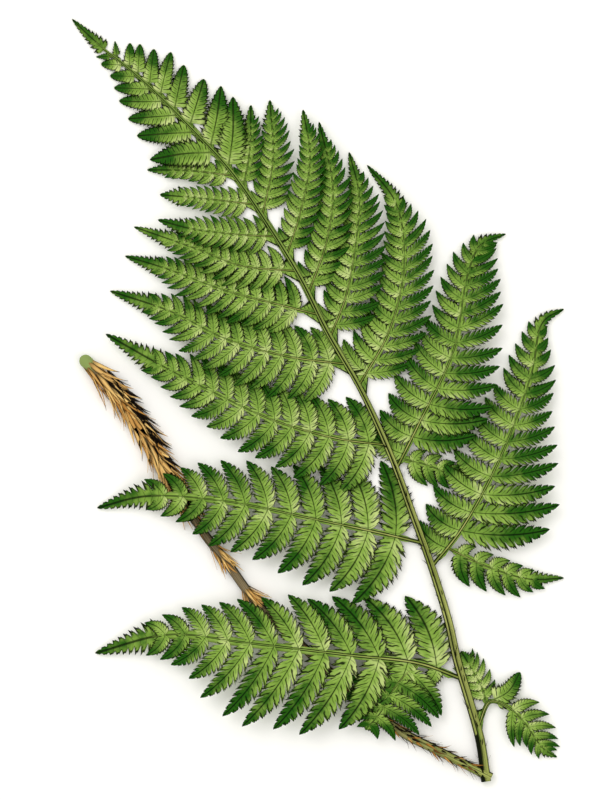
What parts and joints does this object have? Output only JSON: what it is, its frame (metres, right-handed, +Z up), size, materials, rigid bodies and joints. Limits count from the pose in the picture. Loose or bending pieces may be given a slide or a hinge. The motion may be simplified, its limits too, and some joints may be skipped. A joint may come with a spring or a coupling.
{
  "type": "hay-scented buckler fern frond",
  "caption": "One picked frond of hay-scented buckler fern, lying flat, its scaly stalk folded back under the lowest side branches.",
  "frame": {"origin": "on the flat underside of the main rib, 4 mm above its end at the fold, where it rests on the surface", "axes": "+Z up from the surface it lies on; +Y up the frond from the fold towards the tip's side; +X to the right"},
  "size_m": [0.148, 0.2291, 0.0072],
  "materials": {
    "leaf": "thin green leaf, satin above, paler and matt below",
    "stalk": "olive and grey-brown stalk with a coat of golden-brown papery scales"
  },
  "bodies": {
    "root": {"blade": "leaf", "stipe": "stalk"}
  },
  "joints": []
}
